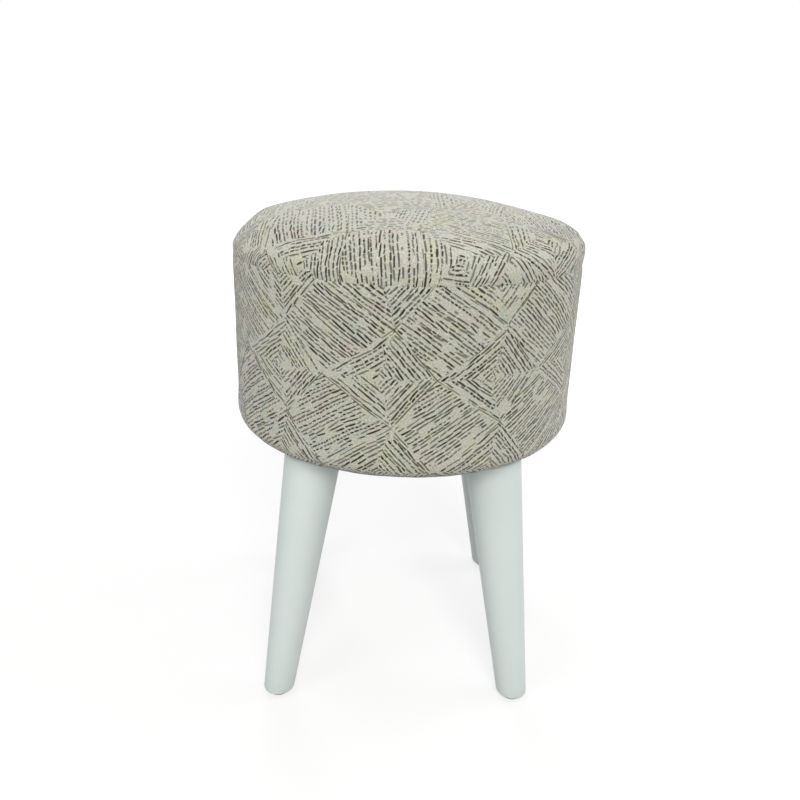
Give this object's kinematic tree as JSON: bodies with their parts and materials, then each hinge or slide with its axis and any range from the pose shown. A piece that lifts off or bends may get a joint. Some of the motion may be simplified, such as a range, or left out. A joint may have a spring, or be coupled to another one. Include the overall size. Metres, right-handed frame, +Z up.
{
  "type": "vanity stool",
  "caption": "Round upholstered stool with a crowned drum seat in hatched printed cloth on splayed tapered painted legs.",
  "frame": {"origin": "on the floor under the middle of the seat", "axes": "+Z up, the front towards -Y, the legs on the diagonals"},
  "size_m": [0.308, 0.308, 0.45],
  "materials": {
    "cover_cloth": "printed cotton-blend upholstery cloth, matt and slightly fuzzy",
    "foam": "open-cell polyurethane foam",
    "plywood": "raw plywood",
    "timber": "raw planed softwood",
    "hardboard": "raw hardboard",
    "dust_cloth": "black non-woven cloth",
    "leg_paint": "turned wood in satin cool white paint",
    "zinc_steel": "bright zinc-plated steel",
    "glide_plastic": "dark grey moulded plastic"
  },
  "bodies": {
    "root": {"seat_cover": "cover_cloth", "side_band": "cover_cloth", "seat_foam": "foam", "side_foam": "foam", "base_board": "plywood", "top_board": "plywood", "post_right": "timber", "post_back": "timber", "post_left": "timber", "post_front": "timber", "drum_skin": "hardboard", "dust_cover": "dust_cloth", "leg_front_right": "leg_paint", "leg_back_right": "leg_paint", "leg_back_left": "leg_paint", "leg_front_left": "leg_paint", "foot_glide_front_right": "glide_plastic", "foot_glide_back_right": "glide_plastic", "foot_glide_back_left": "glide_plastic", "foot_glide_front_left": "glide_plastic", "leg_plate_front_right": "zinc_steel", "leg_plate_back_right": "zinc_steel", "leg_plate_back_left": "zinc_steel", "leg_plate_front_left": "zinc_steel", "hanger_bolt_front_right": "zinc_steel", "hanger_bolt_back_right": "zinc_steel", "hanger_bolt_back_left": "zinc_steel", "hanger_bolt_front_left": "zinc_steel", "plate_screw_front_right_1": "zinc_steel", "plate_screw_front_right_2": "zinc_steel", "plate_screw_front_right_3": "zinc_steel", "plate_screw_front_right_4": "zinc_steel", "plate_screw_back_right_1": "zinc_steel", "plate_screw_back_right_2": "zinc_steel", "plate_screw_back_right_3": "zinc_steel", "plate_screw_back_right_4": "zinc_steel", "plate_screw_back_left_1": "zinc_steel", "plate_screw_back_left_2": "zinc_steel", "plate_screw_back_left_3": "zinc_steel", "plate_screw_back_left_4": "zinc_steel", "plate_screw_front_left_1": "zinc_steel", "plate_screw_front_left_2": "zinc_steel", "plate_screw_front_left_3": "zinc_steel", "plate_screw_front_left_4": "zinc_steel", "frame_screw_base_right": "zinc_steel", "frame_screw_top_right": "zinc_steel", "frame_screw_base_back": "zinc_steel", "frame_screw_top_back": "zinc_steel", "frame_screw_base_left": "zinc_steel", "frame_screw_top_left": "zinc_steel", "frame_screw_base_front": "zinc_steel", "frame_screw_top_front": "zinc_steel"}
  },
  "joints": []
}
